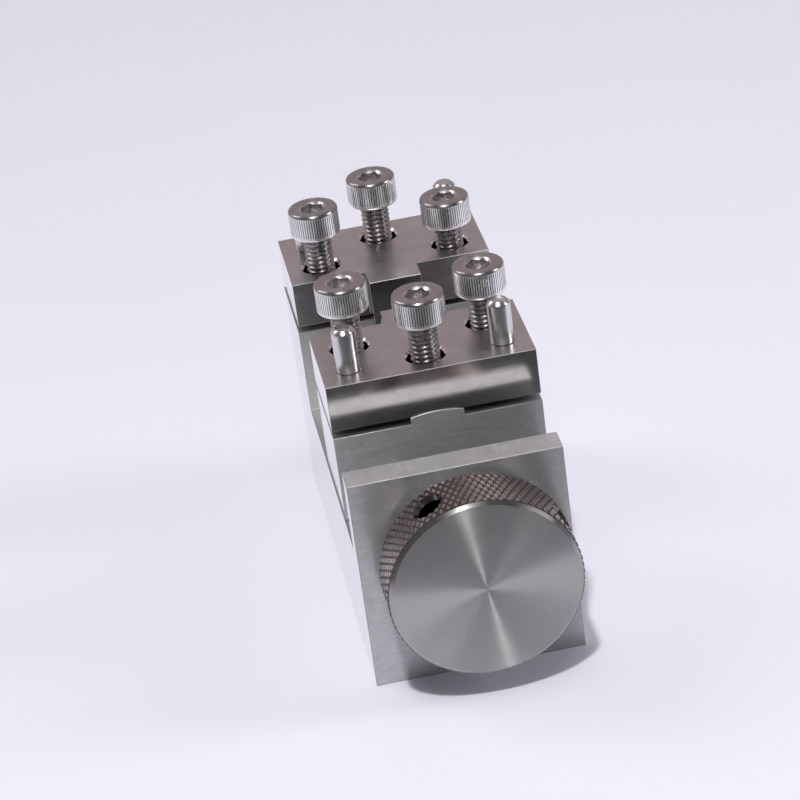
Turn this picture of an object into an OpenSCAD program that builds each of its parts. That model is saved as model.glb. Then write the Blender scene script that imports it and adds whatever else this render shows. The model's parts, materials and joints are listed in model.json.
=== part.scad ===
// Watch movement holder: a small steel screw vise with two rocking jaw plates.
// Frame: +Z up, +Y from the knob back to the fixed jaw, +X to the right when facing the knob.
// Origin: on the surface it stands on, in the middle of its overall width and length, knob included.

/* [Base frame] */
// Width of the base frame
base_w = 28.5; // [26:0.5:36]
// Length of the base frame, front plate to rear block
base_l = 61; // [59:0.5:75]
// Height of the rail that the moving block runs on
rail_h = 19; // [19:0.1:19.6]
// Thickness of the upright front plate
plate_t = 4.2; // [3:0.1:5]
// Height of the upright front plate
plate_h = 30.5; // [28:0.5:31]
// Length of the fixed rear block
block_l = 16.1; // [15:0.1:18]
// Height of the top of the rear block and of the moving block
block_h = 31.4; // [31:0.1:33]
// Width of the slot along the rail
slot_w = 12; // [11.5:0.1:13]
// Rear end of the slot, from the front of the frame
slot_end = 42; // [41:0.5:44]
// Width of the recess under the rail
recess_w = 19; // [18:0.5:20]
// Height of the recess under the rail
recess_h = 8; // [7.5:0.1:8.5]

/* [Moving block] */
// Width of the moving block and of both jaw plates
block_w = 28.2; // [26:0.1:28.5]
// Length of the moving block
slider_l = 16.2; // [15:0.1:17]
// Gap between the front plate and the moving block at rest
slider_gap = 7.6; // [7.4:0.1:9]
// Running gap under the moving block and over the keeper plate
slide_clear = 0.1; // [0.05:0.01:0.2]
// Width of the domed rib along each block
rib_w = 7.2; // [6:0.1:7.4]
// Radius of the dome on the rib
dome_r = 15.8; // [15:0.1:17]
// Height of the dome above the underside of the jaw plate
dome_rise = 0.45; // [0.4:0.01:0.5]
// Clearance between the dome and the groove of the jaw plate
dome_clear = 0.06; // [0.03:0.01:0.1]

/* [Jaw plates] */
// Length of a jaw plate along the jaws' travel, without its tongue
jaw_l = 15.9; // [15:0.1:16.5]
// Thickness of a jaw plate
jaw_t = 6.55; // [6:0.05:7]
// Gap between a jaw plate and the block under it
jaw_lift = 0.9; // [0.7:0.05:1]
// Width of the tongue in the middle of each jaw
tongue_w = 7.4; // [6:0.1:9]
// Length of the tongue
tongue_l = 3.8; // [3:0.1:3.8]

/* [Jaw screws] */
// Thread diameter of the jaw screws
screw_d = 4; // [3.8:0.05:4]
// Diameter of the screw heads
head_d = 7; // [6.5:0.1:7.4]
// Height of the screw heads
head_h = 4; // [3.5:0.1:4.2]
// Length of the screws under the head
screw_l = 16; // [14:0.5:16]
// Width across flats of the socket
socket_af = 3; // [2.5:0.1:3.2]
// Depth of the socket
socket_depth = 2; // [1.5:0.1:2.4]
// Diameter of the clearance holes through the jaw plates
jaw_hole_d = 5.1; // [5:0.05:5.3]
// Sideways distance of the outer screws from the middle
side_screw_x = 9.3; // [9:0.1:9.6]
// Distance of the outer screws from the inner edge of the jaw plate
side_screw_in = 4.9; // [4.6:0.1:5.2]
// Distance of the middle screw from the outer edge of the jaw plate
mid_screw_in = 4.4; // [4:0.1:4.8]
// Front jaw screws, left, middle, right: height of the head above the jaw plate
front_out = [5.65, 5.15, 4.65]; // [3:0.05:6]
// Rear jaw screws, left, middle, right: height of the head above the jaw plate
rear_out = [5.15, 5.45, 3.25]; // [3:0.05:6]

/* [Jaw pins] */
// Diameter of the upright pins
pin_d = 3.2; // [3.1:0.1:3.4]
// Diameter of the pins' feet, pressed into the jaw plate
pin_foot_d = 2.8; // [2.4:0.1:2.8]
// Height of the pins above the jaw plate
pin_h = 6.3; // [5:0.1:8]
// Sideways distance of the pins from the middle
pin_x = 10.4; // [10:0.1:10.8]
// Distance of the pins from the outer edge of the jaw plate
pin_in = 4.1; // [3.5:0.1:4.3]

/* [Knob and drive screw] */
// Sideways offset of the drive screw from the middle of the frame
drive_x = 1; // [0:0.1:1.2]
// Height of the drive screw above the base
drive_z = 17; // [16.8:0.1:17.2]
// Diameter of the drive screw
drive_d = 6; // [5.5:0.1:6]
// Diameter of the knob
knob_d = 25.8; // [24:0.1:27]
// Thickness of the knob
knob_t = 8.2; // [7.5:0.1:10]
// Gap between the knob and the front plate, filled by the thrust washer
knob_gap = 0.8; // [0.6:0.05:1.2]
// Diameter of the tommy bar holes in the knob
tommy_d = 3.4; // [3:0.1:3.6]
// Number of tommy bar holes round the knob
tommy_n = 4; // [2:1:4]
// Angle of the first tommy bar hole from straight up, towards the left
tommy_angle = 27; // [0:1:45]
// Edge break on the knob
knob_chamfer = 0.45; // [0.3:0.05:0.8]
// Diameter of the thrust collar behind the front plate
collar_d = 10; // [9:0.1:10.6]
// Thickness of the thrust collar
collar_t = 2.4; // [2:0.1:2.4]

/* [Hidden] */
$fn = 96;
// Small overlap that keeps cut faces from lying on each other
eps = 0.1;
// Radial play of a screw in its threaded hole and of the drive screw in its bore
thread_play = 0.05;

// Places along Y
overall_l = knob_t + knob_gap + base_l;
rear_y = overall_l / 2;
front_y = rear_y - base_l;
plate_back_y = front_y + plate_t;
block_front_y = rear_y - block_l;
slider_front_y = plate_back_y + slider_gap;
slider_back_y = slider_front_y + slider_l;
front_jaw_y = slider_back_y;
rear_jaw_y = block_front_y;

// Heights
jaw_bottom = block_h + jaw_lift;
jaw_top = jaw_bottom + jaw_t;
dome_z = jaw_bottom + dome_rise - dome_r;
tapped_spare = 0.5;
tapped_bottom = jaw_top - screw_l - tapped_spare;
countersink = 0.3;

// Jaw feature places, measured from a jaw's inner edge towards its outer edge
mid_y = jaw_l - mid_screw_in;
side_y = side_screw_in;
pins_y = jaw_l - pin_in;

// Jaw screws and pins
screw_edge = 0.35;
screw_tip = 0.5;
pin_edge = 0.5;
pin_foot = 0.6;
pin_neck = 0.1;

// Moving block's foot in the slot
tenon_play = 0.1;
tenon_w = slot_w - 2 * tenon_play;
tenon_setback = 0.7;
tenon_l = slider_l - 2 * tenon_setback;
tenon_bottom = recess_h - slide_clear;
slider_mid_y = slider_front_y + slider_l / 2;
keeper_w = 17;
keeper_l = 15.2;
keeper_t = 3;
keeper_corner = 2;
keeper_screw_d = 3;
keeper_screw_l = 8;
keeper_hole_spare = 0.4;
keeper_head_d = 5.6;
keeper_head_h = 1.3;
keeper_socket_af = 2;
keeper_socket_depth = 0.9;
keeper_pitch_y = 8.8;
recess_corner = 3;
recess_front = 5.5;
recess_back = 40;

// Drive screw and knob
knob_back_y = front_y - knob_gap;
knob_mid_y = knob_back_y - knob_t / 2;
knob_bore_depth = 6.2;
drive_reach = 40;
drive_tip_chamfer = 0.8;
tommy_depth = 6.9;
tommy_sink_d = 4.3;
washer_d = 11;
washer_clear = 0.07;
collar_clear = 0.06;
collar_y = plate_back_y + collar_clear;
collar_pin_d = 1.5;
collar_pin_l = 9.4;
grub_d = 3;
grub_l = 3;
grub_socket_af = 1.5;
grub_socket_depth = 1.2;
// The grub screw sits in the tommy bar hole that points down and to the right
grub_turn = 2;

steel = [0.62, 0.61, 0.60];
bright_steel = [0.75, 0.75, 0.76];
dark_steel = [0.45, 0.44, 0.44];
bronze = [0.72, 0.55, 0.33];

// A box from one corner to the other
module box(low, high) {
  translate(low) cube(high - low);
}

// A flat plate with round corners, centred in X and Y, standing on z = 0
module round_plate(w, l, h, r) {
  linear_extrude(h) union() {
    square([w - 2 * r, l], center = true);
    square([w, l - 2 * r], center = true);
    for (x = [-1, 1], y = [-1, 1])
      translate([x * (w / 2 - r), y * (l / 2 - r)]) circle(r);
  }
}

// A cylinder along +Y from y = 0
module rod_y(d, l) {
  rotate([-90, 0, 0]) cylinder(d = d, h = l);
}

// Hexagonal prism of a socket, standing on z = 0
module hexagon(across_flats, h) {
  cylinder(d = across_flats / cos(30), h = h, $fn = 6);
}

// A hole from z = 0 with a small countersink at its far end, at z = depth
module countersunk_hole(d, depth) {
  translate([0, 0, -eps]) cylinder(d = d, h = depth + 2 * eps);
  translate([0, 0, depth - countersink])
    cylinder(d1 = d, d2 = d + 2 * (countersink + eps), h = countersink + eps);
}

// The domed rib that a jaw plate rocks on, between two places along Y
module rib(y_low, y_high) {
  intersection() {
    box([-rib_w / 2, y_low, block_h - eps], [rib_w / 2, y_high, jaw_top]);
    translate([0, y_low, dome_z]) rod_y(2 * dome_r, y_high - y_low);
  }
}

// Drilled hole pattern of a jaw, seen from its inner edge: side is +1 towards +Y
module at_jaw_screws(edge_y, side) {
  translate([0, edge_y + side * mid_y, 0]) children();
  for (x = [-side_screw_x, side_screw_x])
    translate([x, edge_y + side * side_y, 0]) children();
}

// Threaded holes under a jaw, blind
module tapped_holes(edge_y, side) {
  at_jaw_screws(edge_y, side)
    translate([0, 0, tapped_bottom])
      cylinder(d = screw_d + 2 * thread_play, h = jaw_top - tapped_bottom);
}

// One body: rail, upright front plate and fixed rear block
module base_frame() {
  half_w = base_w / 2;
  color(steel) difference() {
    union() {
      box([-half_w, front_y, 0], [half_w, rear_y, rail_h]);
      box([-half_w, front_y, 0], [half_w, plate_back_y, plate_h]);
      box([-half_w, block_front_y, 0], [half_w, rear_y, block_h]);
      rib(block_front_y, rear_y);
    }
    rail_slot();
    rail_recess();
    translate([drive_x, front_y - eps, drive_z])
      rod_y(drive_d + 2 * thread_play, plate_t + 2 * eps);
    tapped_holes(rear_jaw_y, 1);
  }
}

// Slot for the foot of the moving block, round at its rear end
module rail_slot() {
  slot_mid = front_y + slot_end - slot_w / 2;
  box([drive_x - slot_w / 2, plate_back_y, recess_h - eps],
      [drive_x + slot_w / 2, slot_mid, rail_h + eps]);
  translate([drive_x, slot_mid, recess_h - eps])
    cylinder(d = slot_w, h = rail_h - recess_h + 2 * eps);
}

// Recess for the keeper plate, open underneath
module rail_recess() {
  translate([drive_x, front_y + (recess_front + recess_back) / 2, -eps])
    round_plate(recess_w, recess_back - recess_front, recess_h + eps, recess_corner);
}

// Block that the drive screw moves, with its foot through the slot
module moving_block() {
  half_w = block_w / 2;
  color(steel) difference() {
    union() {
      box([-half_w, slider_front_y, rail_h + slide_clear], [half_w, slider_back_y, block_h]);
      rib(slider_front_y, slider_back_y);
      translate([drive_x - tenon_w / 2, slider_mid_y - tenon_l / 2, tenon_bottom])
        cube([tenon_w, tenon_l, rail_h + slide_clear - tenon_bottom + eps]);
    }
    translate([drive_x, slider_front_y - eps, drive_z])
      rod_y(drive_d + 2 * thread_play, slider_l + 2 * eps);
    tapped_holes(front_jaw_y, -1);
    at_keeper_screws() translate([0, 0, tenon_bottom - eps])
      cylinder(d = keeper_screw_d, h = keeper_screw_l - keeper_t + keeper_hole_spare + eps);
  }
}

// Places of the two keeper screws
module at_keeper_screws() {
  for (y = [-1, 1])
    translate([drive_x, slider_mid_y + y * keeper_pitch_y / 2, 0]) children();
}

// Plate under the rail that holds the moving block down
module keeper_plate() {
  color(dark_steel) difference() {
    translate([drive_x, slider_mid_y, tenon_bottom - keeper_t])
      round_plate(keeper_w, keeper_l, keeper_t, keeper_corner);
    at_keeper_screws() translate([0, 0, tenon_bottom - keeper_t - eps]) {
      cylinder(d = keeper_screw_d, h = keeper_t + 2 * eps);
      cylinder(d = keeper_head_d, h = keeper_head_h + eps);
    }
  }
}

// Low-head screw that fixes the keeper plate; side is -1 for the front one, 1 for the rear one
module keeper_screw(side) {
  color(bright_steel)
    translate([drive_x, slider_mid_y + side * keeper_pitch_y / 2, tenon_bottom - keeper_t])
      difference() {
        union() {
          cylinder(d = keeper_head_d, h = keeper_head_h);
          cylinder(d = keeper_screw_d, h = keeper_screw_l);
        }
        translate([0, 0, -eps]) hexagon(keeper_socket_af, keeper_socket_depth + eps);
      }
}

// Jaw plate with its tongue pointing at the other jaw; side is 1 when its body lies towards +Y
module jaw_plate(edge_y, side) {
  half_w = block_w / 2;
  outer_y = edge_y + side * jaw_l;
  tip_y = edge_y - side * tongue_l;
  color(steel) difference() {
    union() {
      box([-half_w, min(edge_y, outer_y), jaw_bottom], [half_w, max(edge_y, outer_y), jaw_top]);
      box([-tongue_w / 2, min(edge_y, tip_y), jaw_bottom],
          [tongue_w / 2, max(edge_y, tip_y), jaw_top]);
    }
    translate([0, min(tip_y, outer_y) - eps, dome_z])
      rod_y(2 * (dome_r + dome_clear), jaw_l + tongue_l + 2 * eps);
    at_jaw_screws(edge_y, side) translate([0, 0, jaw_bottom]) countersunk_hole(jaw_hole_d, jaw_t);
    at_pins(edge_y, side) translate([0, 0, jaw_bottom]) countersunk_hole(pin_foot_d, jaw_t);
  }
}

// Places of a jaw's two pins
module at_pins(edge_y, side) {
  for (x = [-pin_x, pin_x])
    translate([x, edge_y + side * pins_y, 0]) children();
}

// Socket head cap screw; out is the height of its head above the jaw plate
module jaw_screw(place, out) {
  socket_d = socket_af / cos(30);
  color(bright_steel) translate([place.x, place.y, jaw_top + out]) difference() {
    rotate_extrude() polygon([
      [0, -screw_l],
      [screw_d / 2 - screw_tip, -screw_l],
      [screw_d / 2, -screw_l + screw_tip],
      [screw_d / 2, 0],
      [head_d / 2 - screw_edge / 2, 0],
      [head_d / 2, screw_edge / 2],
      [head_d / 2, head_h - screw_edge],
      [head_d / 2 - screw_edge, head_h],
      [0, head_h]
    ]);
    translate([0, 0, head_h - socket_depth]) hexagon(socket_af, socket_depth + eps);
    translate([0, 0, head_h - screw_edge])
      cylinder(d1 = socket_d - screw_edge, d2 = socket_d + screw_edge + 2 * eps, h = screw_edge + eps);
  }
}

// The middle screw and a side screw of a jaw; x is -1 for left, 1 for right
module middle_screw(edge_y, side, out) {
  jaw_screw([0, edge_y + side * mid_y], out);
}

module side_screw(edge_y, side, x, out) {
  jaw_screw([x * side_screw_x, edge_y + side * side_y], out);
}

// Upright ground pin with a narrower foot and a chamfered top; x is -1 for left, 1 for right
module jaw_pin(edge_y, side, x) {
  foot = jaw_bottom + pin_foot;
  top = jaw_top + pin_h;
  color(bright_steel) translate([x * pin_x, edge_y + side * pins_y, 0]) rotate_extrude() polygon([
    [0, foot],
    [pin_foot_d / 2 - pin_edge / 2, foot],
    [pin_foot_d / 2, foot + pin_edge / 2],
    [pin_foot_d / 2, jaw_top + pin_neck],
    [pin_d / 2, jaw_top + pin_neck],
    [pin_d / 2, top - pin_edge],
    [pin_d / 2 - pin_edge, top],
    [0, top]
  ]);
}

// Turns its children's +Z onto the drive axis, pointing at the rear block, and starts them at y
module on_drive_axis(y) {
  translate([drive_x, y, drive_z]) rotate([-90, 0, 0]) children();
}

// Points its children's +Z outwards from the knob's axis, along tommy bar hole i
module at_tommy(i) {
  translate([drive_x, knob_mid_y, drive_z])
    rotate([0, -tommy_angle + i * 360 / tommy_n, 0]) children();
}

module knob() {
  r = knob_d / 2;
  color(steel) difference() {
    on_drive_axis(knob_back_y - knob_t) rotate_extrude() polygon([
      [0, 0],
      [r - knob_chamfer, 0],
      [r, knob_chamfer],
      [r, knob_t - knob_chamfer],
      [r - knob_chamfer, knob_t],
      [0, knob_t]
    ]);
    on_drive_axis(knob_back_y - knob_bore_depth) cylinder(d = drive_d, h = knob_bore_depth + eps);
    for (i = [0 : tommy_n - 1]) at_tommy(i) {
      translate([0, 0, r - tommy_depth]) cylinder(d = tommy_d, h = tommy_depth + eps);
      translate([0, 0, r - tommy_d / 4])
        cylinder(d1 = tommy_d, d2 = tommy_sink_d + 2 * eps, h = tommy_d / 4 + eps);
    }
    at_tommy(grub_turn) cylinder(d = grub_d, h = r - tommy_depth + eps);
  }
}

// Screw that draws the moving block along, turned by the knob
module drive_screw() {
  start_y = knob_back_y - knob_bore_depth;
  r = drive_d / 2;
  l = front_y + drive_reach - start_y;
  color(bright_steel) difference() {
    on_drive_axis(start_y) rotate_extrude() polygon([
      [0, 0],
      [r, 0],
      [r, l - drive_tip_chamfer],
      [r - drive_tip_chamfer, l],
      [0, l]
    ]);
    collar_cross_hole();
  }
}

// Hole for the pin that fixes the collar on the screw
module collar_cross_hole() {
  translate([drive_x, collar_y + collar_t / 2, drive_z - collar_d / 2 - eps])
    cylinder(d = collar_pin_d, h = collar_d + 2 * eps);
}

// Bearing washer between the knob and the front plate
module thrust_washer() {
  t = knob_gap - washer_clear;
  color(bronze) on_drive_axis(knob_back_y) difference() {
    cylinder(d = washer_d, h = t);
    translate([0, 0, -eps]) cylinder(d = drive_d, h = t + 2 * eps);
  }
}

// Collar behind the front plate that takes the pull of the screw
module thrust_collar() {
  color(dark_steel) difference() {
    on_drive_axis(collar_y) difference() {
      cylinder(d = collar_d, h = collar_t);
      translate([0, 0, -eps]) cylinder(d = drive_d, h = collar_t + 2 * eps);
    }
    collar_cross_hole();
  }
}

module collar_pin() {
  color(bright_steel)
    translate([drive_x, collar_y + collar_t / 2, drive_z - collar_pin_l / 2])
      cylinder(d = collar_pin_d, h = collar_pin_l);
}

// Grub screw that locks the knob on the drive screw
module knob_grub_screw() {
  color(dark_steel) at_tommy(grub_turn) translate([0, 0, drive_d / 2]) difference() {
    cylinder(d = grub_d, h = grub_l);
    translate([0, 0, grub_l - grub_socket_depth]) hexagon(grub_socket_af, grub_socket_depth + eps);
  }
}

base_frame();
moving_block();
keeper_plate();
keeper_screw(-1);  // keeper_screw_front
keeper_screw(1);  // keeper_screw_rear
jaw_plate(front_jaw_y, -1);  // front_jaw_plate
jaw_plate(rear_jaw_y, 1);  // rear_jaw_plate
side_screw(front_jaw_y, -1, -1, front_out[0]);  // front_jaw_screw_left
middle_screw(front_jaw_y, -1, front_out[1]);  // front_jaw_screw_middle
side_screw(front_jaw_y, -1, 1, front_out[2]);  // front_jaw_screw_right
side_screw(rear_jaw_y, 1, -1, rear_out[0]);  // rear_jaw_screw_left
middle_screw(rear_jaw_y, 1, rear_out[1]);  // rear_jaw_screw_middle
side_screw(rear_jaw_y, 1, 1, rear_out[2]);  // rear_jaw_screw_right
jaw_pin(front_jaw_y, -1, -1);  // front_jaw_pin_left
jaw_pin(front_jaw_y, -1, 1);  // front_jaw_pin_right
jaw_pin(rear_jaw_y, 1, -1);  // rear_jaw_pin_left
jaw_pin(rear_jaw_y, 1, 1);  // rear_jaw_pin_right
knob();
drive_screw();
thrust_washer();
thrust_collar();
collar_pin();
knob_grub_screw();
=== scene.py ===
import json
import math

import bmesh
import bpy
from mathutils import Matrix, Vector

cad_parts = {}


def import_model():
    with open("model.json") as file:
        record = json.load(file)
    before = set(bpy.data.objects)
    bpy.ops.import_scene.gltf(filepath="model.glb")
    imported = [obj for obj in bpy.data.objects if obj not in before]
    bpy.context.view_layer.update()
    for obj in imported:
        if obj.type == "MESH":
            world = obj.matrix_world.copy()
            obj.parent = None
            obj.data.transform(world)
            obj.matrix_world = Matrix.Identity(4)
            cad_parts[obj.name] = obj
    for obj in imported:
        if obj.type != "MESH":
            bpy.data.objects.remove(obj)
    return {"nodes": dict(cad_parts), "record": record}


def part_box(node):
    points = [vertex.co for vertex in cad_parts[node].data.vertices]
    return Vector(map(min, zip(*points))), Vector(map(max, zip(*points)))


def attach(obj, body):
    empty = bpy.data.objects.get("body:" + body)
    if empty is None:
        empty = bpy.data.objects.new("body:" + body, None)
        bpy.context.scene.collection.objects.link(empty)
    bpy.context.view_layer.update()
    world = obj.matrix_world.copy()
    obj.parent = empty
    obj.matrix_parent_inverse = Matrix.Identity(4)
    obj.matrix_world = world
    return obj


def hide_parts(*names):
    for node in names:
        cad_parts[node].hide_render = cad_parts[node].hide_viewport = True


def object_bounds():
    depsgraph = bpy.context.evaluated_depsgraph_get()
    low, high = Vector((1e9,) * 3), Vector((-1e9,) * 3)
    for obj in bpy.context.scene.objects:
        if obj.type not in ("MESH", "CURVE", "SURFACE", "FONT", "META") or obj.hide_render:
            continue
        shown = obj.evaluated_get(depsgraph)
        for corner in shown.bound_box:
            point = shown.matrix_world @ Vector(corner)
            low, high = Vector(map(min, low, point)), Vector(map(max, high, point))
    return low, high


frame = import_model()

MM = 0.001
CAD_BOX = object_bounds()
SUBPARTS = {s["node"]: s["material_slot"] for s in frame["record"]["subparts"]}
PLATE_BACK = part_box("moving_block")[0].y
BODY_OF = {n: b for b, nodes in frame["record"]["behaviour"]["bodies"].items() for n in nodes}


# ---------------------------------------------------------------- mesh helpers

def new_object(name, bm, materials, smooth_angle=35.0):
    """A mesh object from a bmesh, with merged points, outward faces and sharp edges by angle."""
    bmesh.ops.remove_doubles(bm, verts=bm.verts, dist=1e-7)
    bmesh.ops.dissolve_degenerate(bm, edges=bm.edges, dist=1e-7)
    bmesh.ops.recalc_face_normals(bm, faces=bm.faces)
    mesh = bpy.data.meshes.new(name)
    bm.to_mesh(mesh)
    bm.free()
    for m in materials:
        mesh.materials.append(m)
    mesh.shade_smooth()
    mesh.set_sharp_from_angle(angle=math.radians(smooth_angle))
    obj = bpy.data.objects.new(name, mesh)
    bpy.context.scene.collection.objects.link(obj)
    return obj


def add_rings(bm, rings):
    """Joins rings of equally many points into a tube, and closes its ends with one face each."""
    made = [[bm.verts.new(p) for p in ring] for ring in rings]
    count = len(made[0])
    for low, high in zip(made, made[1:]):
        for i in range(count):
            j = (i + 1) % count
            bm.faces.new((low[i], low[j], high[j], high[i]))
    bm.faces.new(list(reversed(made[0])))
    bm.faces.new(made[-1])


def ring(radius, z, steps):
    """Points of a circle round Z; radius is a number, or a function of the angle."""
    points = []
    for i in range(steps):
        a = 2 * math.pi * i / steps
        r = radius(a) if callable(radius) else radius
        points.append(Vector((r * math.cos(a), r * math.sin(a), z)))
    return points


def arc_profile(centre_r, centre_z, radius, start, end, count):
    """(r, z) points along an arc, with angles in degrees from +r towards +z."""
    points = []
    for i in range(count + 1):
        a = math.radians(start + (end - start) * i / count)
        points.append((centre_r + radius * math.cos(a), centre_z + radius * math.sin(a)))
    return points


def add_thread(bm, outer_r, depth, pitch, low, high, hand=1, steps=48, lead_in=0.35 * MM):
    """A rolled thread round Z whose ends taper to the root. hand is -1 for a left-hand thread."""
    # One pitch of the profile, as (share of the pitch, share of the depth)
    shape = [(0.0, 0.0), (0.22, 0.0), (0.52, 0.86), (0.58, 1.0), (0.68, 1.0), (0.74, 0.86)]
    root_r = outer_r - depth
    turns = int((high - low) / pitch) + 3
    rows = []
    for k in range(turns):
        for share, height in shape:
            row = []
            for i in range(steps):
                z = low + (k - 1 + share + i / steps) * pitch
                z = min(max(z, low), high)
                limit = root_r + (min(z - low, high - z)) * depth / lead_in
                r = min(root_r + height * depth, limit)
                a = 2 * math.pi * i / steps * hand
                row.append(bm.verts.new((r * math.cos(a), r * math.sin(a), z)))
            rows.append(row)
    per_turn = len(shape)
    for n in range(len(rows) - 1):
        for i in range(steps):
            if i + 1 < steps:
                quad = (rows[n][i], rows[n][i + 1], rows[n + 1][i + 1], rows[n + 1][i])
            elif n + per_turn + 1 < len(rows):
                quad = (rows[n][i], rows[n + per_turn][0], rows[n + per_turn + 1][0], rows[n + 1][i])
            else:
                continue
            bm.faces.new(quad)
    bmesh.ops.remove_doubles(bm, verts=bm.verts, dist=1e-7)
    loose = [v for v in bm.verts if not v.link_faces]
    bmesh.ops.delete(bm, geom=loose, context="VERTS")
    bmesh.ops.dissolve_degenerate(bm, edges=bm.edges, dist=1e-7)
    bmesh.ops.holes_fill(bm, edges=bm.edges, sides=0)


def place_mesh(bm, matrix):
    """Moves the whole bmesh."""
    bmesh.ops.transform(bm, matrix=matrix, verts=bm.verts)


def apply_modifiers(obj):
    """Applies the object's modifiers to its mesh."""
    depsgraph = bpy.context.evaluated_depsgraph_get()
    mesh = bpy.data.meshes.new_from_object(obj.evaluated_get(depsgraph))
    obj.modifiers.clear()
    obj.data = mesh


def cut(obj, tool, operation):
    """Applies an exact boolean to obj and removes the tool."""
    modifier = obj.modifiers.new("cut", "BOOLEAN")
    modifier.operation = operation
    modifier.solver = "EXACT"
    modifier.object = tool
    bpy.context.view_layer.update()
    apply_modifiers(obj)
    bpy.data.objects.remove(tool)


def stand_in(obj, node):
    """obj takes the place of a CAD node: it rides on its body, and the node is hidden."""
    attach(obj, BODY_OF[node])
    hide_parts(node)
    return obj


# ------------------------------------------------------------------- materials

def node_material(name, color, roughness, metallic=1.0):
    """A material with its Principled shader, ready for its own nodes."""
    material = bpy.data.materials.new(name)
    material.use_nodes = True
    tree = material.node_tree
    shader = tree.nodes["Principled BSDF"]
    shader.inputs["Base Color"].default_value = (*color, 1.0)
    shader.inputs["Metallic"].default_value = metallic
    shader.inputs["Roughness"].default_value = roughness
    return material, tree, shader


def stretched_noise(tree, scale, detail=4.0, roughness=0.6):
    """Noise in object space, with its own scale along each axis, in grains per metre."""
    coords = tree.nodes.new("ShaderNodeTexCoord")
    mapping = tree.nodes.new("ShaderNodeMapping")
    mapping.inputs["Scale"].default_value = scale
    noise = tree.nodes.new("ShaderNodeTexNoise")
    noise.inputs["Scale"].default_value = 1.0
    noise.inputs["Detail"].default_value = detail
    noise.inputs["Roughness"].default_value = roughness
    tree.links.new(coords.outputs["Object"], mapping.inputs["Vector"])
    tree.links.new(mapping.outputs["Vector"], noise.inputs["Vector"])
    return noise.outputs["Fac"]


def ranged(tree, value, low, high, from_low=0.3, from_high=0.7):
    """value, spread from its usual range to low..high."""
    node = tree.nodes.new("ShaderNodeMapRange")
    node.inputs["From Min"].default_value = from_low
    node.inputs["From Max"].default_value = from_high
    node.inputs["To Min"].default_value = low
    node.inputs["To Max"].default_value = high
    tree.links.new(value, node.inputs["Value"])
    return node.outputs["Result"]


def tinted(tree, value, dark, light):
    """A colour between dark and light, by value."""
    ramp = tree.nodes.new("ShaderNodeValToRGB")
    ramp.color_ramp.elements[0].position = 0.3
    ramp.color_ramp.elements[1].position = 0.7
    ramp.color_ramp.elements[0].color = (*dark, 1.0)
    ramp.color_ramp.elements[1].color = (*light, 1.0)
    tree.links.new(value, ramp.inputs["Fac"])
    return ramp.outputs["Color"]


def bumped(tree, shader, height, distance, strength):
    """Adds a bump of that depth in metres."""
    bump = tree.nodes.new("ShaderNodeBump")
    bump.inputs["Strength"].default_value = strength
    bump.inputs["Distance"].default_value = distance
    tree.links.new(height, bump.inputs["Height"])
    tree.links.new(bump.outputs["Normal"], shader.inputs["Normal"])


def shade(color, factor):
    """The colour, made darker or lighter."""
    return tuple(min(1.0, c * factor) for c in color)


def scratched(material, axis, anisotropic):
    """The material, with fine machining marks round an object axis that spread highlights across them."""
    tree = material.node_tree
    shader = tree.nodes["Principled BSDF"]
    shader.inputs["Anisotropic"].default_value = anisotropic
    shader.inputs["Anisotropic Rotation"].default_value = 0.25
    tangent = tree.nodes.new("ShaderNodeTangent")
    tangent.direction_type = "RADIAL"
    tangent.axis = axis
    tree.links.new(tangent.outputs["Tangent"], shader.inputs["Tangent"])
    return material


def ground_steel(name, color, grain, roughness, scratch=0.5, blotch=0.09, cloud=260.0):
    """Ground steel. grain and cloud are scratches and blotches a metre, and blotch is how much they tint."""
    material, tree, shader = node_material(name, color, sum(roughness) / 2)
    lines = stretched_noise(tree, grain, 3.0, 0.7)
    clouds = stretched_noise(tree, (cloud, cloud, 2 * cloud), 5.0, 0.7)
    tint = tinted(tree, clouds, shade(color, 1 - blotch), shade(color, 1 + blotch))
    tree.links.new(ranged(tree, lines, *roughness), shader.inputs["Roughness"])
    tree.links.new(tint, shader.inputs["Base Color"])
    bumped(tree, shader, lines, 0.004 * MM, scratch)
    return material


def brushed_steel(name, color, grain, roughness, axis, anisotropic):
    """Ground steel with a finer mottle, whose marks spread highlights across them."""
    material = ground_steel(name, color, grain, roughness, scratch=0.4, blotch=0.12, cloud=700.0)
    return scratched(material, axis, anisotropic)


def turned_steel(name, color, roughness, axis, anisotropic=1.0):
    """Steel with fine circular tool marks round an object axis."""
    material, tree, shader = node_material(name, color, sum(roughness) / 2)
    clouds = stretched_noise(tree, (500.0, 500.0, 500.0), 2.0)
    tint = tinted(tree, clouds, shade(color, 0.95), shade(color, 1.04))
    tree.links.new(ranged(tree, clouds, *roughness), shader.inputs["Roughness"])
    tree.links.new(tint, shader.inputs["Base Color"])
    return scratched(material, axis, anisotropic)


def plain_steel(name, color, roughness, grain=(3000.0, 3000.0, 3000.0), bump=0.3):
    """Steel or bronze with an even, fine machined surface."""
    material, tree, shader = node_material(name, color, sum(roughness) / 2)
    lines = stretched_noise(tree, grain, 3.0)
    clouds = stretched_noise(tree, (400.0, 400.0, 400.0), 2.0)
    tint = tinted(tree, clouds, shade(color, 0.93), shade(color, 1.05))
    tree.links.new(ranged(tree, lines, *roughness), shader.inputs["Roughness"])
    tree.links.new(tint, shader.inputs["Base Color"])
    bumped(tree, shader, lines, 0.003 * MM, bump)
    return material


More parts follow.
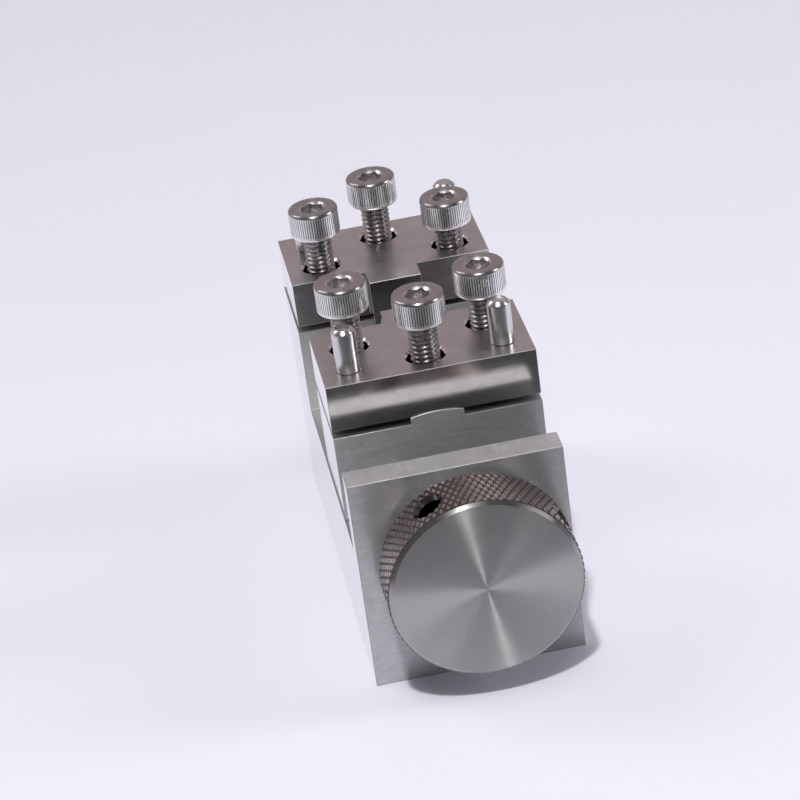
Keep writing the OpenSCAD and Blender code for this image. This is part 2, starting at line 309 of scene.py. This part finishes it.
def block_finish(name, color, top, front, marks):
    """A block's finishes: TOP, FRONT, SIDE, EDGE, PLATE_TOP. top and front are ranges of roughness."""
    cross, along = 6000.0, 200.0
    return [
        ground_steel(name + "_top", color, (along, cross, cross), top),
        brushed_steel(name + "_front", color, (along, cross, cross), front, "Z", marks),
        # The sides get a lighter copy of the block's colour: painted light for the bright floor they
        # reflect.
        ground_steel(name + "_side_painted_light", shade(color, 1.35), (cross, along, cross), (0.09, 0.14), blotch=0.03),
        STEEL["edge"],
        STEEL["milled_and_lit"],
    ]


TOP, FRONT, SIDE, EDGE, PLATE_TOP = range(5)
STEEL = {
    # Darker than the blocks' steel: painted shade on the broken edges and on the plate's back face in the
    # gap.
    "edge": plain_steel("steel_edge_painted_shade", (0.32, 0.32, 0.32), (0.44, 0.56)),
    "face": turned_steel("turned_face", (0.43, 0.42, 0.41), (0.31, 0.36), "Y"),
    "chamfer": turned_steel("turned_chamfer", (0.38, 0.375, 0.37), (0.26, 0.32), "Y", 0.8),
    # Dark: painted shade in the tommy bar holes and their countersinks.
    "sink": turned_steel("countersink_painted_shade", (0.16, 0.15, 0.15), (0.12, 0.18), "Y", 0.0),
    # Dark: painted shade in the knurl's V grooves on the screw heads and in the knob's valleys.
    "groove": plain_steel("steel_groove_painted_shade", (0.17, 0.145, 0.14), (0.34, 0.44), bump=0.1),
    # Much lighter than the screw steel: painted highlight on the outer wall and knurl ridges of the heads.
    "ridge": plain_steel("steel_ridge_painted_highlight", (0.90, 0.90, 0.89), (0.28, 0.36), bump=0.1),
    # Lighter than the frame's steel: partly a rougher milled finish, partly painted light from above on the
    # plate's top.
    "milled_and_lit": plain_steel("steel_milled_and_lit", (0.72, 0.72, 0.74), (0.50, 0.62), (6000.0, 500.0, 500.0)),
    "knurl": plain_steel("steel_knurl", (0.54, 0.47, 0.45), (0.28, 0.38), bump=0.1),
    "screw": turned_steel("steel_screw", (0.44, 0.42, 0.42), (0.24, 0.30), "Z", 0.8),
    # Lighter than the screw steel: painted light inside the hexagon socket and its mouth.
    "socket": plain_steel("steel_socket_painted_light", (0.60, 0.58, 0.58), (0.24, 0.32), bump=0.05),
    "pin": turned_steel("steel_pin", (0.68, 0.67, 0.67), (0.22, 0.26), "Z", 0.6),
    "dark": plain_steel("steel_dark", (0.22, 0.21, 0.21), (0.38, 0.52)),
    "bronze": plain_steel("bronze", (0.62, 0.42, 0.21), (0.26, 0.38)),
}
BLOCKS = {
    "base_frame": block_finish("frame", (0.52, 0.52, 0.53), (0.42, 0.56), (0.33, 0.43), 0.9),
    "moving_block": block_finish("block", (0.51, 0.51, 0.525), (0.38, 0.50), (0.36, 0.46), 1.0),
    "front_jaw_plate": block_finish("front_jaw", (0.58, 0.56, 0.56), (0.26, 0.36), (0.10, 0.15), 0.0),
    "rear_jaw_plate": block_finish("rear_jaw", (0.58, 0.56, 0.56), (0.26, 0.36), (0.14, 0.20), 0.0),
}


# --------------------------------------------------------------- machined nodes

EDGE_BREAK = 0.06 * MM


def machined(node, materials):
    """A CAD node's own mesh with its edges broken, and a finish by which way each face looks."""
    bm = bmesh.new()
    bm.from_mesh(frame["nodes"][node].data)
    bmesh.ops.remove_doubles(bm, verts=bm.verts, dist=1e-7)
    bmesh.ops.dissolve_limit(
        bm, angle_limit=math.radians(0.5), verts=bm.verts, edges=bm.edges, use_dissolve_boundaries=False)
    for face in bm.faces:
        # The plate's top takes the lighter PLATE_TOP finish: partly painted light from above.
        if face.normal.z > 0.85 and face.calc_center_median().y < PLATE_BACK:
            face.material_index = PLATE_TOP
        elif abs(face.normal.z) > 0.85:
            face.material_index = TOP
        # The plate's back face, in the gap before the moving block, takes the dark EDGE finish: painted
        # shade.
        elif face.normal.y > 0.7 and face.calc_center_median().y < PLATE_BACK:
            face.material_index = EDGE
        elif abs(face.normal.y) > 0.7:
            face.material_index = FRONT
        else:
            face.material_index = SIDE
    obj = new_object(node + "_machined", bm, materials)
    bevel = obj.modifiers.new("edge_break", "BEVEL")
    bevel.width = EDGE_BREAK
    bevel.segments = 1
    bevel.limit_method = "ANGLE"
    bevel.angle_limit = math.radians(50)
    bevel.use_clamp_overlap = False
    # The broken edges take the dark EDGE finish: painted shade that dims their highlights.
    bevel.material = EDGE
    apply_modifiers(obj)
    obj.data.shade_smooth()
    obj.data.set_sharp_from_angle(angle=math.radians(20))
    return stand_in(obj, node)


# ------------------------------------------------------------ screws and pins

SCREW_R = 2.0 * MM
SCREW_PITCH = 0.7 * MM
SCREW_DEPTH = 0.42 * MM
HEAD_H = 4.0 * MM
HEAD_RIDGES = 64
HEAD_BAND = 0.62 * MM
RIDGE_DEPTH = 0.15 * MM
SOCKET_AF = 3.0 * MM
SOCKET_DEPTH = 2.0 * MM
SOCKET_MOUTH_R = SOCKET_AF / 2 / math.cos(math.pi / 6) + 0.14 * MM
PIN_FOOT_R = 1.4 * MM


def ridged_radius(radius):
    """Radius round a head's straight knurl, by angle. Each V groove is a third of a ridge's pitch wide."""
    def at(angle):
        share = (angle * HEAD_RIDGES / (2 * math.pi) + 0.5) % 1.0
        return radius - RIDGE_DEPTH * max(0.0, 1 - 6 * abs(share - 0.5))
    return at


def hexagon_radius(across_flats):
    """Radius round a hexagon, by angle."""
    def at(angle):
        return across_flats / 2 / math.cos((angle + math.pi / 6) % (math.pi / 3) - math.pi / 6)
    return at


def add_socket_head(bm, radius):
    """Socket head from z = 0 up: knurled band between two plain bands, round shoulders, hexagon socket."""
    steps = 6 * HEAD_RIDGES
    low_edge, shoulder = 0.3 * MM, 0.42 * MM
    knurl = ridged_radius(radius)
    rings = [ring(0.6 * SCREW_R, 0.0, steps)]
    for r, z in arc_profile(radius - low_edge, low_edge, low_edge, -90, 0, 3):
        rings.append(ring(r, z, steps))
    rings.append(ring(radius, HEAD_BAND - 0.2 * MM, steps))
    rings.append(ring(knurl, HEAD_BAND, steps))
    rings.append(ring(knurl, HEAD_H - HEAD_BAND, steps))
    rings.append(ring(radius, HEAD_H - HEAD_BAND + 0.14 * MM, steps))
    for r, z in arc_profile(radius - shoulder, HEAD_H - shoulder, shoulder, 0, 90, 5):
        rings.append(ring(r, z, steps))
    add_socket(rings, steps)
    add_rings(bm, rings)


def add_socket(rings, steps):
    """Adds the rings of the hexagon socket to a head: round mouth, sloping rim, flats and drilled bottom."""
    hexagon = hexagon_radius(SOCKET_AF)
    mouth_z, bottom_z = HEAD_H - 0.03 * MM, HEAD_H - SOCKET_DEPTH
    rim = ring(hexagon, mouth_z, steps)
    for point in rim:
        point.z -= (SOCKET_MOUTH_R - point.xy.length) * 0.8
    rings.append(ring(SOCKET_MOUTH_R + 0.05 * MM, HEAD_H, steps))
    rings.append(ring(SOCKET_MOUTH_R, mouth_z, steps))
    rings.append(rim)
    rings.append(ring(hexagon, bottom_z, steps))
    rings.append(ring(lambda a: 0.8 * hexagon(a), bottom_z - 0.02 * MM, steps))
    rings.append(ring(0.05 * MM, bottom_z - 0.5 * MM, steps))


TURNED, GROOVE, SOCKET, RIDGE = range(4)


def screw_finish(face, radius):
    """Which of the screw's finishes a face has: TURNED, GROOVE of the knurl, SOCKET or RIDGE."""
    centre = face.calc_center_median()
    reach = centre.xy.length
    if 0.05 * MM < centre.z < HEAD_H - 0.45 * MM and reach > radius - 0.2 * MM:
        in_knurl = HEAD_BAND < centre.z < HEAD_H - HEAD_BAND
        return GROOVE if in_knurl and reach < radius - 0.035 * MM else RIDGE
    return SOCKET if centre.z > 1.0 * MM and reach < SOCKET_MOUTH_R + 0.05 * MM else TURNED


def jaw_screw(node, turn, materials):
    """Socket head cap screw with its knurled head and rolled thread. turn is the angle of its socket."""
    low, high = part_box(node)
    centre, radius = (low + high) / 2, (high.x - low.x) / 2
    head_z = high.z - HEAD_H
    into_head = 0.25 * MM
    bm = bmesh.new()
    add_thread(bm, SCREW_R, SCREW_DEPTH, SCREW_PITCH, low.z - head_z, into_head)
    head = bmesh.new()
    add_socket_head(head, radius)
    part = bpy.data.meshes.new("head")
    head.to_mesh(part)
    head.free()
    bm.from_mesh(part)
    bpy.data.meshes.remove(part)
    for face in bm.faces:
        face.material_index = screw_finish(face, radius)
    place = Matrix.Translation((centre.x, centre.y, head_z)) @ Matrix.Rotation(math.radians(turn), 4, "Z")
    place_mesh(bm, place)
    return stand_in(new_object(node + "_threaded", bm, materials, 40.0), node)


def jaw_pin(node, materials):
    """Ground pin with a narrower foot in the jaw plate and a round-edged chamfer on top."""
    low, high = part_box(node)
    r = (high.x - low.x) / 2
    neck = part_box(node.split("_pin_")[0] + "_plate")[1].z + 0.1 * MM
    profile = [
        (PIN_FOOT_R - 0.25 * MM, low.z), (PIN_FOOT_R, low.z + 0.25 * MM), (PIN_FOOT_R, neck),
        (r - 0.03 * MM, neck), (r, neck + 0.03 * MM), (r, high.z - 0.62 * MM)]
    profile += arc_profile(r - 0.25 * MM, high.z - 0.62 * MM, 0.25 * MM, 0, 42, 3)
    profile += arc_profile(r - 0.62 * MM, high.z - 0.22 * MM, 0.22 * MM, 48, 90, 3)
    bm = bmesh.new()
    add_rings(bm, [ring(a, z, 72) for a, z in profile])
    place_mesh(bm, Matrix.Translation(((low.x + high.x) / 2, (low.y + high.y) / 2, 0)))
    return stand_in(new_object(node + "_ground", bm, materials, 30.0), node)


# ------------------------------------------------------------------------ knob

KNURLS_ROUND = 80
KNURL_ROW = 0.92 * MM
KNURL_DEPTH = 0.18 * MM
KNURL_FLAT = 0.56
KNOB_CHAMFER = 0.42 * MM
TOMMY_R = 1.7 * MM
TOMMY_SINK_R = 2.2 * MM
TOMMY_DEPTH = 6.9 * MM
DRIVE_R = 3.0 * MM


def drive_axis_matrix(y):
    """Takes a shape built round Z onto the drive axis, with +Z looking towards the rear block."""
    low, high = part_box("knob")
    place = Matrix.Translation(((low.x + high.x) / 2, y, (low.z + high.z) / 2))
    return place @ Matrix.Rotation(-math.pi / 2, 4, "X")


def knurled_bar(radius, low, high):
    """A closed bar round Z whose wall is all diamond knurl: flat-topped pyramids between V grooves."""
    bm = bmesh.new()
    half = math.pi / KNURLS_ROUND
    count = 2 * KNURLS_ROUND
    first, last = int(low / KNURL_ROW) - 3, int(high / KNURL_ROW) + 3
    valley = {}
    root = radius - KNURL_DEPTH

    def point(i, j, r):
        a = i * half
        return Vector((r * math.cos(a), r * math.sin(a), j * KNURL_ROW))

    def groove(i, j):
        key = (i % count, j)
        if key not in valley:
            valley[key] = bm.verts.new(point(key[0], j, root))
        return valley[key]

    for j in range(first, last):
        for i in range(count):
            if (i + j) % 2:
                continue
            corners = [groove(i + 1, j), groove(i, j + 1), groove(i - 1, j), groove(i, j - 1)]
            tops = []
            for di, dj in ((1, 0), (0, 1), (-1, 0), (0, -1)):
                tops.append(bm.verts.new(point(i + di * KNURL_FLAT, j + dj * KNURL_FLAT, radius)))
            for a in range(4):
                b = (a + 1) % 4
                bm.faces.new((corners[a], corners[b], tops[b], tops[a]))
            bm.faces.new(tops)
    for z in (low, high):
        geometry = bm.verts[:] + bm.edges[:] + bm.faces[:]
        bmesh.ops.bisect_plane(
            bm, geom=geometry, dist=1e-9, plane_co=(0, 0, z), plane_no=(0, 0, 1 if z > low else -1),
            clear_outer=True)
    bmesh.ops.holes_fill(bm, edges=[e for e in bm.edges if e.is_boundary], sides=0)
    return bm


def knob(materials):
    """The knob: diamond knurled rim, turned face, chamfers that cut through the knurl, tommy bar holes."""
    low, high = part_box("knob")
    radius, length = (high.x - low.x) / 2, high.y - low.y
    spare = 0.6 * MM
    bore_depth = 6.2 * MM
    obj = new_object("knob_knurled", knurled_bar(radius, -spare, length + spare), materials, 20.0)
    cut(obj, new_object("blank", knob_blank(radius, length), materials), "INTERSECT")
    for n in range(4):
        cut(obj, new_object("tommy", tommy_hole(n, radius, length / 2), materials), "DIFFERENCE")
    bore = bmesh.new()
    add_rings(bore, [ring(DRIVE_R, z, 96) for z in (length - bore_depth, length + 1.0 * MM)])
    cut(obj, new_object("bore", bore, materials), "DIFFERENCE")
    bm = bmesh.new()
    bm.from_mesh(obj.data)
    bpy.data.objects.remove(obj)
    place_mesh(bm, drive_axis_matrix(low.y))
    for face in bm.faces:
        face.material_index = knob_finish(face, low, high)
    return stand_in(new_object("knob_knurled", bm, materials, 20.0), "knob")


def knob_blank(radius, length):
    """The knob's outline, whose chamfers reach just under the roots of the knurl."""
    past = 0.02 * MM
    root = radius - KNURL_DEPTH
    inner = root - KNOB_CHAMFER
    wall = KNOB_CHAMFER + 0.12 * MM
    profile = [
        (inner - 0.05 * MM, 0.0), (inner, 0.03 * MM), (root - past, KNOB_CHAMFER),
        (radius + past, wall), (radius + past, length - wall),
        (root - past, length - KNOB_CHAMFER), (inner, length)]
    bm = bmesh.new()
    add_rings(bm, [ring(r, z, 240) for r, z in profile])
    return bm


def tommy_hole(n, radius, z):
    """The tool that cuts tommy bar hole n, with its countersink and drilled bottom."""
    inner = radius - TOMMY_DEPTH
    profile = [
        (0.02 * MM, inner - 0.6 * MM), (TOMMY_R, inner), (TOMMY_R, radius - 0.75 * MM),
        (TOMMY_SINK_R, radius - 0.05 * MM), (TOMMY_SINK_R + 0.3 * MM, radius + 0.6 * MM)]
    bm = bmesh.new()
    add_rings(bm, [ring(r, depth, 64) for r, depth in profile])
    world = tommy_direction(n)
    turn = Vector((world.x, -world.z, 0)).to_track_quat("Z", "Y").to_matrix().to_4x4()
    place_mesh(bm, Matrix.Translation((0, 0, z)) @ turn)
    return bm


def tommy_direction(n):
    """Which way tommy bar hole n looks, in the row frame."""
    angle = math.radians(-27 + 90 * n)
    return Vector((math.sin(angle), 0, math.cos(angle)))


DIAMOND, FACE, CHAMFER, SINK, VALLEY = range(5)


def knob_finish(face, low, high):
    """Which of the knob's finishes a face has: DIAMOND, FACE, CHAMFER, SINK (a bar hole) or VALLEY."""
    centre = face.calc_center_median()
    if face.normal.y < -0.99 and centre.y < low.y + 0.01 * MM:
        return FACE
    place = centre - (low + high) / 2
    for n in range(4):
        direction = tommy_direction(n)
        if place.dot(direction) > 0 and place.cross(direction).length < TOMMY_SINK_R - 0.03 * MM:
            return SINK
    outwards = Vector((place.x, 0, place.z))
    from_end = min(centre.y - low.y, high.y - centre.y)
    if from_end < KNOB_CHAMFER + 0.01 * MM:
        return CHAMFER
    return VALLEY if face.normal.dot(outwards) < 0.97 * outwards.length else DIAMOND


def drive_screw(materials):
    """The drive screw, with its left-hand thread behind the collar and a plain journal in the plate."""
    low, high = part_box("drive_screw")
    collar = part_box("thrust_collar")[1].y - low.y
    pitch, depth, edge, lead_in = 1.0 * MM, 0.55 * MM, 0.2 * MM, 0.7 * MM
    journal = collar + 0.5 * MM
    bm = bmesh.new()
    add_thread(bm, DRIVE_R, depth, pitch, collar + 0.3 * MM, high.y - low.y, -1, 64, lead_in)
    add_rings(bm, [ring(r, z, 96) for r, z in (
        (DRIVE_R - edge, 0.0), (DRIVE_R, edge), (DRIVE_R, journal - 0.4 * MM), (2.44 * MM, journal))])
    place_mesh(bm, drive_axis_matrix(low.y))
    return stand_in(new_object("drive_screw_threaded", bm, materials, 40.0), "drive_screw")


# ----------------------------------------------------------------------- stage

def direction_from(azimuth, elevation):
    """The way to a place seen from the object; azimuth 0 is the knob's side."""
    level = math.cos(elevation)
    return Vector((math.sin(azimuth) * level, -math.cos(azimuth) * level, math.sin(elevation)))


def camera():
    """The camera, by its angles round the point that it looks at."""
    azimuth, elevation, roll = math.radians(-5.649), math.radians(27.599), math.radians(-8.151)
    target, distance = Vector((-4.40, -11.75, 34.05)) * MM, 394.77 * MM
    back = direction_from(azimuth, elevation)
    right = Vector((0, 0, 1)).cross(back).normalized()
    up = back.cross(right)
    rolled_right = math.cos(roll) * right + math.sin(roll) * up
    rolled_up = math.cos(roll) * up - math.sin(roll) * right
    data = bpy.data.cameras.new("camera")
    data.sensor_width = 36.0
    data.lens = 134.6
    data.clip_start, data.clip_end = 0.01, 50.0
    obj = bpy.data.objects.new("camera", data)
    bpy.context.scene.collection.objects.link(obj)
    rotation = Matrix((rolled_right, rolled_up, back)).transposed()
    obj.matrix_world = Matrix.Translation(target + back * distance) @ rotation.to_4x4()
    bpy.context.scene.camera = obj


def floor():
    """A plain pale floor."""
    bm = bmesh.new()
    bmesh.ops.create_grid(bm, x_segments=1, y_segments=1, size=4.0)
    material, tree, shader = node_material("floor", (0.84, 0.85, 0.95), 0.5, 0.0)
    shader.inputs["Specular IOR Level"].default_value = 0.3
    clouds = stretched_noise(tree, (9.0, 9.0, 9.0), 2.0)
    tint = tinted(tree, clouds, (0.83, 0.84, 0.94), (0.85, 0.86, 0.96))
    tree.links.new(tint, shader.inputs["Base Color"])
    new_object("floor", bm, [material])


def reflection_shade_card():
    """A matt black card that lies on the floor in front and shows only in the object's reflections: painted
    shade in those reflections.
    """
    width, length, gap = 0.9, 0.5, 0.033
    bm = bmesh.new()
    bmesh.ops.create_grid(bm, x_segments=1, y_segments=1, size=0.5)
    bmesh.ops.scale(bm, vec=(width, length, 1.0), verts=bm.verts)
    material = node_material("painted_reflection_shade", (0.05, 0.05, 0.055), 0.9, 0.0)[0]
    obj = new_object("reflection_shade_card", bm, [material])
    obj.location = (0.0, CAD_BOX[0].y - gap - length / 2, 0.0003)
    obj.visible_camera = False
    obj.visible_diffuse = False
    obj.visible_shadow = False


def area_light(name, azimuth, elevation, distance, size, power, color):
    """A soft light that looks at the object from azimuth and elevation, in degrees."""
    back = direction_from(math.radians(azimuth), math.radians(elevation))
    data = bpy.data.lights.new(name, "AREA")
    data.shape = "RECTANGLE"
    data.size, data.size_y = size
    data.energy = power
    data.color = color
    obj = bpy.data.objects.new(name, data)
    obj.location = Vector((0, 0, 0.02)) + back * distance
    obj.rotation_mode = "QUATERNION"
    obj.rotation_quaternion = back.to_track_quat("Z", "Y")
    bpy.context.scene.collection.objects.link(obj)


def world():
    """A dim room with a warm wall behind the object. The camera itself sees a pale backdrop."""
    scene = bpy.context.scene
    scene.world = bpy.data.worlds.new("room")
    scene.world.use_nodes = True
    tree = scene.world.node_tree
    background = tree.nodes["Background"]
    coords = tree.nodes.new("ShaderNodeTexCoord")
    split = tree.nodes.new("ShaderNodeSeparateXYZ")
    ramp = tree.nodes.new("ShaderNodeValToRGB")
    spread = tree.nodes.new("ShaderNodeMapRange")
    spread.inputs["From Min"].default_value = -1.0
    tree.links.new(coords.outputs["Generated"], split.inputs["Vector"])
    tree.links.new(split.outputs["Y"], spread.inputs["Value"])
    tree.links.new(spread.outputs["Result"], ramp.inputs["Fac"])
    stops = ramp.color_ramp.elements
    stops[0].position, stops[0].color = 0.0, (0.11, 0.11, 0.115, 1)
    stops[1].position, stops[1].color = 1.0, (0.44, 0.37, 0.38, 1)
    for position, color in ((0.5, (0.17, 0.165, 0.17, 1)), (0.8, (0.42, 0.35, 0.36, 1))):
        stops.new(position).color = color
    path = tree.nodes.new("ShaderNodeLightPath")
    mix = tree.nodes.new("ShaderNodeMix")
    mix.data_type = "RGBA"
    mix.inputs["B"].default_value = (0.82, 0.81, 0.91, 1)
    tree.links.new(path.outputs["Is Camera Ray"], mix.inputs["Factor"])
    tree.links.new(ramp.outputs["Color"], mix.inputs["A"])
    tree.links.new(mix.outputs["Result"], background.inputs["Color"])


def lights():
    """A small lamp, a ceiling light and two windows."""
    area_light("lamp", -13, 62, 1.2, (0.06, 0.06), 8.0, (1.0, 0.99, 0.98))
    area_light("ceiling", -10, 68, 1.2, (0.6, 0.6), 2.0, (1.0, 0.99, 0.99))
    area_light("window", 78, 26, 1.8, (0.5, 0.8), 8.5, (0.99, 0.99, 1.0))
    area_light("back_window", -125, 45, 1.8, (0.6, 0.9), 5.0, (0.97, 0.985, 1.0))


# ------------------------------------------------------------------------ build

SCREW_TURNS = {
    "front_jaw_screw_left": 10.0, "front_jaw_screw_middle": 32.0, "front_jaw_screw_right": 20.0,
    "rear_jaw_screw_left": 5.0, "rear_jaw_screw_middle": 25.0, "rear_jaw_screw_right": 15.0,
}
SMALL_PARTS = {
    "keeper_plate": "dark", "keeper_screw_front": "screw", "keeper_screw_rear": "screw",
    "thrust_washer": "bronze", "thrust_collar": "dark", "collar_pin": "pin", "knob_grub_screw": "dark",
}

bpy.context.scene.view_settings.view_transform = "Standard"
camera()
floor()
reflection_shade_card()
world()
lights()
for node_name, finishes in BLOCKS.items():
    machined(node_name, finishes)
for node_name, finish_name in SMALL_PARTS.items():
    machined(node_name, [STEEL[finish_name]] * 5)
for node_name, angle in SCREW_TURNS.items():
    jaw_screw(node_name, angle, [STEEL[name] for name in ("screw", "groove", "socket", "ridge")])
for node_name in SUBPARTS:
    if "_jaw_pin_" in node_name:
        jaw_pin(node_name, [STEEL["pin"]])
knob([STEEL[name] for name in ("knurl", "face", "chamfer", "sink", "groove")])
drive_screw([STEEL["screw"]])
